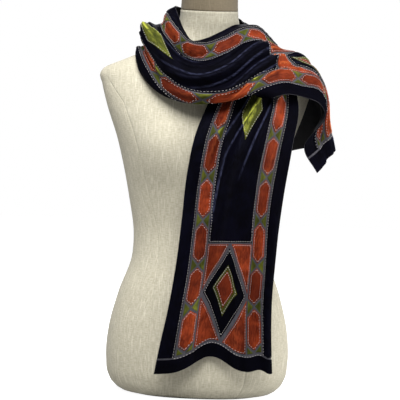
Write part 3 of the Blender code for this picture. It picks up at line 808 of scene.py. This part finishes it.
def patchwork():
    """Every patch of the scarf, laid out flat: plain borders and hems, two bands of long hexagons with
    small triangles between them, a plain field with a few long diamonds, and a block at each end."""
    patches = []
    for across in (HEM_EDGE, CLOTH_WIDTH - BORDER):
        outline = rectangle(BORDER, CLOTH_LENGTH - BORDER, across, across + BORDER - HEM_EDGE)
        patches.append(Patch("navy", outline, stitched=False))
    for along in (HEM_EDGE, CLOTH_LENGTH - BORDER + STRIP):
        outline = rectangle(along, along + BORDER - STRIP - HEM_EDGE, HEM_EDGE, CLOTH_WIDTH - HEM_EDGE)
        patches.append(Patch("navy", outline, stitched=False))
    first, last = BORDER + STRIP, CLOTH_LENGTH - BORDER - STRIP
    motif = (last - first) / MOTIFS_IN_BAND
    half_band = BAND / 2
    gap = STRIP * math.hypot(1, MOTIF_POINT / half_band)
    for across in (first + half_band, CLOTH_WIDTH - first - half_band):
        for k in range(MOTIFS_IN_BAND):
            outline = long_hexagon(first + motif * (k + 0.5), across, motif - 2 * gap, BAND, MOTIF_POINT)
            patches.append(Patch("rust", outline))
        for k in range(MOTIFS_IN_BAND + 1):
            along = first + motif * k
            start = along - MOTIF_POINT * (k > 0)
            end = along + MOTIF_POINT * (k < MOTIFS_IN_BAND)
            for s in (-1, 1):
                foot = across + s * half_band
                outline = np.array([[start, foot], [end, foot], [along, across + s * TRIANGLE_TIP]])
                patches.append(Patch("olive", outline if s < 0 else outline[::-1], stitched=False))
    patches += end_block(first, first + BLOCK_LENGTH) + end_block(last - BLOCK_LENGTH, last)
    inner = BLOCK_LENGTH + STRIP
    patches.append(Patch("navy", rectangle(first + inner, last - inner, FIELD_LOW, FIELD_HIGH)))
    for along in FIELD_DIAMONDS:
        outline = diamond(along, (FIELD_LOW + FIELD_HIGH) / 2, FIELD_DIAMOND_LENGTH, FIELD_DIAMOND_WIDTH)
        patches.append(Patch("olive", outline, ON_PATCH))
    return patches


def patch_faces(across):
    """The faces of a patch: quads between its rows, and at an end where the row has no width,
    triangles that meet in that row's first point."""
    rows, row_points = across.shape
    cells = row_points - 1
    quads = grid_quads(rows, row_points)
    triangles = [np.zeros((0, 3), int)]
    if np.ptp(across[0]) < NO_WIDTH:
        tip = np.zeros(cells, int)
        triangles.append(np.stack([tip, quads[:cells, 2], quads[:cells, 3]], axis=-1))
        quads = quads[cells:]
    if np.ptp(across[-1]) < NO_WIDTH:
        tip = np.full(cells, (rows - 1) * row_points)
        triangles.append(np.stack([quads[-cells:, 0], quads[-cells:, 1], tip], axis=-1))
        quads = quads[:-cells]
    return quads, np.concatenate(triangles)


def add_patches(velvet, patches, material):
    """One piece of all the patches of one velvet. A patch's shade is how its nap lies, which differs
    from patch to patch."""
    parts, count = [], 0
    for k, patch in enumerate(p for p in patches if p.velvet == velvet):
        grid, along, across = patch_points(patch.outline, patch.level)
        quads, triangles = patch_faces(across)
        uv = np.stack([across, along], axis=-1).reshape(-1, 2)
        shade = np.full(along.size, 0.5 + 0.5 * math.sin(2.4 * k + 1))
        # the painted highlight on the folds and creases, kept as the ridge mark
        ridge = rubbed(along, across / CLOTH_WIDTH, FOLD_HIGHLIGHT[velvet]).ravel()
        parts.append((grid.reshape(-1, 3), quads + count, triangles + count, uv, shade, ridge))
        count += along.size
    points, quads, triangles, uv, shade, ridge = map(np.concatenate, zip(*parts))
    used = np.unique(np.concatenate([quads.ravel(), triangles.ravel()]))
    faces = [np.searchsorted(used, quads), np.searchsorted(used, triangles)]
    marks = {"shade": shade[used], "ridge": ridge[used]}
    name = f"{velvet}_velvet_patches"
    return add_piece(name, points[used], faces, [material], uv=uv[used], marks=marks, all_smooth=True)


def add_ground(face, lining):
    """The backing: two skins on the cloth, the outer one under the patches, and the rim between them."""
    rows, row_points = round(CLOTH_LENGTH / GROUND_CELL) + 1, round(CLOTH_WIDTH / GROUND_CELL) + 1
    lines, places = np.linspace(0, CLOTH_LENGTH, rows), np.linspace(0, CLOTH_WIDTH, row_points)
    along, across = np.meshgrid(lines, places, indexing="ij")
    outer, out = on_cloth(along, across, np.zeros_like(along))
    inner = outer - out * BACKING
    faces = grid_quads(rows, row_points)
    count = along.size
    place = np.arange(count).reshape(along.shape)
    rim = np.concatenate([place[0, :-1], place[:-1, -1], place[-1, :0:-1], place[::-1, 0][:-1]])
    after = np.roll(rim, -1)
    walls = np.stack([rim, rim + count, after + count, after], axis=-1)
    uv = np.tile(np.stack([across, along], axis=-1).reshape(-1, 2), (2, 1))
    all_faces = [faces, faces[:, ::-1] + count, walls]
    slots = np.repeat([0, 1], [len(faces), len(faces) + len(walls)])
    points = np.concatenate([outer.reshape(-1, 3), inner.reshape(-1, 3)])
    return add_piece("scarf_backing", points, all_faces, [face, lining], slots=slots, uv=uv)


def stitch_line(start, end, lead=STITCH_GAP / 2, run=None):
    """Where each running stitch of a straight line starts and ends. The lead is before each stitch. A
    stitch that has no run of its own leaves the gap free."""
    start, end = np.array(start), np.array(end)
    length = np.linalg.norm(end - start)
    count = max(1, round(length / (STITCH + STITCH_GAP)))
    pitch = length / count
    way = (end - start) / length
    begin = start + way * (np.arange(count) * pitch + lead)[:, None]
    return np.stack([begin, begin + way * (run or pitch - STITCH_GAP)], axis=1)


def add_stitches(patches, thread):
    """Running stitches: each is a short thread that comes up out of the pile, lies on it and goes down
    again, a tube about four points with thin ends."""
    lines = []
    for patch in patches:
        if patch.stitched:
            corners = inset_outline(patch.outline, STITCH_INSET)
            for start, end in zip(corners, np.roll(corners, -1, axis=0)):
                lines.append((patch.level, stitch_line(start, end)))
    for out in (BORDER - STITCH_INSET, CLOTH_WIDTH - BORDER + STITCH_INSET):
        lines.append((0, stitch_line((BORDER, out), (CLOTH_LENGTH - BORDER, out), 0, STITCH)))
    for out in (BORDER - STITCH_INSET, CLOTH_LENGTH - BORDER + STITCH_INSET):
        lines.append((0, stitch_line((out, BORDER), (out, CLOTH_WIDTH - BORDER), 0, STITCH)))
    ends = np.concatenate([line for _, line in lines])
    levels = np.concatenate([np.full(len(line), level) for level, line in lines])
    share, rise, thick = np.array(THREAD_PROFILE).T
    places = ends[:, :1] + (ends[:, 1:] - ends[:, :1]) * share[None, :, None]
    middle, out = on_cloth(places[..., 0], places[..., 1], levels[:, None] + PILE + rise * THREAD)
    way = unit(np.gradient(middle, axis=1))
    side = unit(np.cross(way, out))
    up = np.cross(side, way)
    turn = np.arange(THREAD_SIDES) * 2 * math.pi / THREAD_SIDES
    ring = side[:, :, None] * np.cos(turn)[:, None] + up[:, :, None] * np.sin(turn)[:, None]
    tube = middle[:, :, None] + ring * (thick * THREAD)[:, None, None]
    sides = grid_quads(len(share), THREAD_SIDES, closed=True)[:, ::-1]
    cap = np.arange(THREAD_SIDES)
    one = np.concatenate([sides, [cap, (len(share) * THREAD_SIDES - 1) - cap]])
    firsts = np.arange(len(ends)) * len(share) * THREAD_SIDES
    faces = (one + firsts[:, None, None]).reshape(-1, 4)
    return add_piece("running_stitches", tube.reshape(-1, 3), [faces], [thread])


# materials

def set_inputs(tree, sockets, inputs):
    """Gives each input a value, or a link from the socket that feeds it. A colour is three numbers."""
    for name, value in inputs.items():
        if isinstance(value, bpy.types.NodeSocket):
            tree.links.new(value, sockets[name])
        else:
            sockets[name].default_value = (*value, 1.0) if sockets[name].type == "RGBA" else value


def add_node(tree, kind, inputs=None, **settings):
    """The outputs of a new node, from its inputs and settings."""
    node = tree.nodes.new(kind)
    for name, value in settings.items():
        setattr(node, name, value)
    set_inputs(tree, node.inputs, inputs or {})
    return node.outputs


def calculate(tree, operation, *values, clamp=False):
    """A number worked out from one to three values."""
    inputs = dict(enumerate(values))
    return add_node(tree, "ShaderNodeMath", inputs, operation=operation, use_clamp=clamp)[0]


def weighted(tree, *terms, plus=0.0):
    """The sum of the values, each times its weight, and one more value."""
    for value, weight in terms:
        plus = calculate(tree, "MULTIPLY_ADD", value, weight, plus)
    return plus


def mix_colours(tree, share, first, second, blend="MIX"):
    """The first colour with the second blended into it by the share."""
    inputs = {"Factor": share, 6: first, 7: second}
    return add_node(tree, "ShaderNodeMix", inputs, data_type="RGBA", blend_type=blend)[2]


def mapped(tree, value, low, high, first, second, course="LINEAR"):
    """A number that goes from first to second as the value goes from low to high."""
    inputs = {"Value": value, "From Min": low, "From Max": high, "To Min": first, "To Max": second}
    return add_node(tree, "ShaderNodeMapRange", inputs, interpolation_type=course)[0]


def ramp(tree, value, low, high):
    """A step from 0 to 1 that starts and ends level, as the value goes from low to high."""
    return mapped(tree, value, low, high, 0.0, 1.0, "SMOOTHSTEP")


def noise(tree, vector, scale, detail=2.0, roughness=0.5, distortion=0.0):
    """Cloudy noise from about 0 to 1."""
    inputs = {"Vector": vector, "Scale": scale, "Detail": detail, "Roughness": roughness}
    inputs["Distortion"] = distortion
    return add_node(tree, "ShaderNodeTexNoise", inputs, noise_dimensions="3D")["Fac"]


def stretched(tree, vector, scale):
    """The vector times a scale for each axis. What is drawn by it is long where the scale is small."""
    return add_node(tree, "ShaderNodeMapping", {"Vector": vector, "Scale": scale})[0]


def bump(tree, height, strength, distance):
    """The normal of a relief with that height."""
    inputs = {"Height": height, "Strength": strength, "Distance": distance}
    return add_node(tree, "ShaderNodeBump", inputs)[0]


def new_group(name, inputs, outputs):
    """A node group, with its sockets' names by their kind: its tree, what comes in and what goes out."""
    tree = bpy.data.node_groups.new(name, "ShaderNodeTree")
    for way, kinds in (("INPUT", inputs), ("OUTPUT", outputs)):
        for kind, labels in kinds.items():
            for label in labels.split():
                tree.interface.new_socket(label, in_out=way, socket_type=f"NodeSocket{kind}")
    return tree, tree.nodes.new("NodeGroupInput").outputs, tree.nodes.new("NodeGroupOutput").inputs


def pile_group():
    """Velvet pile: soft brushed areas and streaks that run along the cloth, where the nap lies the
    other way and looks lighter, with the fine tufts of the pile on top."""
    tree, inside, outside = new_group(
        "velvet_pile",
        {"Vector": "Vector", "Float": "Shade Ridge Streaks", "Color": "Deep Lit Rubbed"},
        {"Color": "Color", "Float": "Roughness Height"},
    )
    brushed = noise(tree, inside["Vector"], 30.0, 1.5, 0.5, 0.5)
    streaks = noise(tree, stretched(tree, inside["Vector"], (1.0, 0.28, 1.0)), 330.0, 3.0, 0.65, 0.4)
    tufts = noise(tree, inside["Vector"], 2600.0, 2.0, 0.6)
    thin = calculate(tree, "MULTIPLY", ramp(tree, streaks, 0.36, 0.70), inside["Streaks"])
    lit = weighted(tree, (ramp(tree, brushed, 0.30, 0.72), 0.55), (thin, 0.55))
    nap = weighted(tree, (inside["Shade"], 0.7), plus=0.35)
    lit = calculate(tree, "MULTIPLY", lit, nap, clamp=True)
    colour = mix_colours(tree, lit, inside["Deep"], inside["Lit"])
    # a painted highlight along the folds and creases, broken up by the streaks
    highlight_share = calculate(tree, "MULTIPLY", inside["Ridge"], ramp(tree, streaks, 0.30, 0.62))
    colour = mix_colours(tree, highlight_share, colour, inside["Rubbed"])
    speck = weighted(tree, (tufts, 0.5), plus=0.75)
    set_inputs(tree, outside, {
        "Color": mix_colours(tree, 1.0, colour, speck, "MULTIPLY"),
        "Roughness": weighted(tree, (lit, -0.22), plus=0.78),
        "Height": weighted(tree, (tufts, 0.35), (streaks, 0.65)),
    })
    return tree


def weave_group():
    """Plain weave of uneven yarn: upright and level streaks, which are long thin noises, fine and
    coarse, with slubs where a yarn swells, and a slow change of tone."""
    tree, inside, outside = new_group(
        "uneven_weave",
        {"Vector": "Vector", "Float": "Yarns", "Color": "Base Pale Dark"},
        {"Color": "Color", "Float": "Height"},
    )
    upright = stretched(tree, inside["Vector"], (1.0, 0.075, 1.0))
    level = stretched(tree, inside["Vector"], (0.14, 1.0, 1.0))

    def yarns(vector, share, detail, roughness=0.5):
        """Noise that is finer where there are more yarns."""
        return noise(tree, vector, weighted(tree, (inside["Yarns"], share)), detail, roughness)

    both = weighted(tree, (yarns(upright, 2.2, 1.0), 0.55), (yarns(upright, 1.0, 2.0, 0.6), 0.45))
    streak = weighted(tree, (both, 0.60), (yarns(level, 1.6, 1.0), 0.40))
    slubs = ramp(tree, yarns(upright, 0.55, 2.0, 0.7), 0.54, 0.70)
    cross_slubs = ramp(tree, yarns(level, 0.6, 2.0, 0.7), 0.60, 0.74)
    slub = calculate(tree, "MAXIMUM", slubs, weighted(tree, (cross_slubs, 0.7)))
    colour = mix_colours(tree, ramp(tree, streak, 0.38, 0.62), inside["Dark"], inside["Base"])
    colour = mix_colours(tree, weighted(tree, (slub, 0.5)), colour, inside["Pale"])
    tone = weighted(tree, (noise(tree, inside["Vector"], 7.0, 3.0), 0.14), plus=0.93)
    set_inputs(tree, outside, {
        "Color": mix_colours(tree, 1.0, colour, tone, "MULTIPLY"),
        "Height": weighted(tree, (slub, 0.4), plus=streak),
    })
    return tree


def new_material(name, roughness, gloss=CLOTH_GLOSS, sheen=0.0, sheen_roughness=0.5, tint=WHITE):
    """A material with its shader's even values set, its tree, and the shader's inputs."""
    material = bpy.data.materials.new(name)
    material.use_nodes = True
    tree = material.node_tree
    shader = tree.nodes["Principled BSDF"].inputs
    set_inputs(tree, shader, {
        "Roughness": roughness,
        "Specular IOR Level": gloss,
        "Sheen Weight": sheen,
        "Sheen Roughness": sheen_roughness,
        "Sheen Tint": tint,
    })
    return material, tree, shader


def velvet(name, look, group):
    """Pile velvet, its colour from the way the nap lies, with a highlight painted on its folds and creases.
    """
    material, tree, shader = new_material(
        f"{name}_velvet", 0.7, look.gloss, look.sheen, VELVET_SHEEN_ROUGHNESS, look.tint
    )
    inputs = {
        "Vector": add_node(tree, "ShaderNodeUVMap", uv_map="cloth")[0],
        "Shade": add_node(tree, "ShaderNodeAttribute", attribute_name="shade")["Fac"],
        "Ridge": add_node(tree, "ShaderNodeAttribute", attribute_name="ridge")["Fac"],
        "Deep": look.deep,
        "Lit": look.lit,
        "Rubbed": look.rubbed,
        "Streaks": look.streaks,
    }
    pile = add_node(tree, "ShaderNodeGroup", inputs, node_tree=group)
    relief = bump(tree, pile["Height"], 0.35, 0.0006)
    set_inputs(tree, shader, {"Base Color": pile["Color"], "Roughness": pile["Roughness"], "Normal": relief})
    return material


def woven(name, look, group):
    """Woven cloth, with painted shade that darkens it towards the neck seam if a share of its colour is
    left there. Its uv holds the height."""
    material, tree, shader = new_material(name, 0.85, sheen=look.sheen)
    place = add_node(tree, "ShaderNodeUVMap", uv_map="cloth")[0]
    inputs = {"Vector": place, "Yarns": look.yarns, "Base": look.base, "Pale": look.pale, "Dark": look.dark}
    weave = add_node(tree, "ShaderNodeGroup", inputs, node_tree=group)
    colour = weave["Color"]
    # painted shade on the linen, darker towards the neck seam
    if look.neck_share < 1:
        height = add_node(tree, "ShaderNodeSeparateXYZ", {0: place})["Y"]
        shade = mapped(tree, height, NECK_FOOT, NECK_SEAM, 1.0, look.neck_share)
        colour = mix_colours(tree, 1.0, colour, shade, "MULTIPLY")
    set_inputs(tree, shader, {"Base Color": colour, "Normal": bump(tree, weave["Height"], 0.6, look.relief)})
    return material


def thread_material():
    """Thread, lighter and darker by its fibres."""
    material, tree, shader = new_material("pale_thread", 0.6, sheen=0.2, sheen_roughness=0.4)
    fibre = noise(tree, add_node(tree, "ShaderNodeTexCoord")["Object"], 900.0)
    set_inputs(tree, shader, {"Base Color": mix_colours(tree, fibre, *THREAD_SHADES)})
    return material


# camera, light and floor

def towards(x, y, z):
    """The rotation of a camera or a light that looks that way."""
    return Vector((x, y, z)).to_track_quat("-Z", "Y")


def add_camera():
    """Level, in front of the form's waist, and turned a little, as the photograph is."""
    data = bpy.data.cameras.new("camera")
    data.sensor_width = CAMERA_SENSOR
    data.lens = CAMERA_LENS
    camera = add_object("camera", data)
    camera.location = CAMERA_PLACE
    camera.rotation_mode = "QUATERNION"
    turn = Matrix.Rotation(math.radians(CAMERA_TURN), 3, "Z").to_quaternion()
    camera.rotation_quaternion = towards(0, 1, 0) @ turn
    bpy.context.scene.camera = camera


def add_lights():
    """Round soft lights, each turned to its target."""
    for lamp in LIGHTS:
        data = bpy.data.lights.new(lamp.name, "AREA")
        data.shape = "DISK"
        data.size = lamp.size
        data.energy = lamp.watts
        light = add_object(lamp.name, data)
        light.location = lamp.place
        light.rotation_euler = towards(*(Vector(lamp.target) - Vector(lamp.place))).to_euler()


def where_seen(tree, hidden, seen):
    """The second number where the camera looks straight at the material, and else the first."""
    return mapped(tree, add_node(tree, "ShaderNodeLightPath")["Is Camera Ray"], 0.0, 1.0, hidden, seen)


def add_room():
    """A white room with a little light of its own, and a pale round floor."""
    world = bpy.data.worlds.new("studio")
    world.use_nodes = True
    tree = world.node_tree
    strength = where_seen(tree, ROOM_LIGHT, 1.0)
    set_inputs(tree, tree.nodes["Background"].inputs, {"Color": WHITE, "Strength": strength})
    bpy.context.scene.world = world
    bpy.context.scene.view_settings.view_transform = "Standard"
    paint, tree, shader = new_material("pale_floor", 0.9, 0.5)
    glow = where_seen(tree, 0.0, FLOOR_GLOW)
    set_inputs(tree, shader, {"Base Color": FLOOR_COLOUR, "Emission Strength": 1.0, "Emission Color": glow})
    angle = np.arange(FLOOR_SIDES) * 2 * math.pi / FLOOR_SIDES
    rim = FLOOR_RADIUS * np.stack([np.cos(angle), np.sin(angle), 0 * angle], axis=-1)
    floor = add_piece("floor", rim, [np.arange(FLOOR_SIDES)[None]], [paint])


# the object

pile, weave = pile_group(), weave_group()
patches = patchwork()
ground = add_ground(woven("grey_backing", CHIFFON, weave), woven("dark_lining", LINING, weave))
trims = [add_patches(name, patches, velvet(name, look, pile)) for name, look in VELVETS.items()]
trims.append(add_stitches(patches, thread_material()))
torso = add_torso(woven("natural_linen", LINEN, weave))
neck_cap = add_neck_cap(woven("neck_linen", CAP_LINEN, weave))

for piece in (ground, *trims, torso, neck_cap):
    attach(piece, "root")
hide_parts("scarf_front_end", "scarf_neck_back", "scarf_front_wrap", "scarf_shoulder_end")
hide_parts("form_torso")
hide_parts("form_neck_cap")

add_camera()
add_lights()
add_room()
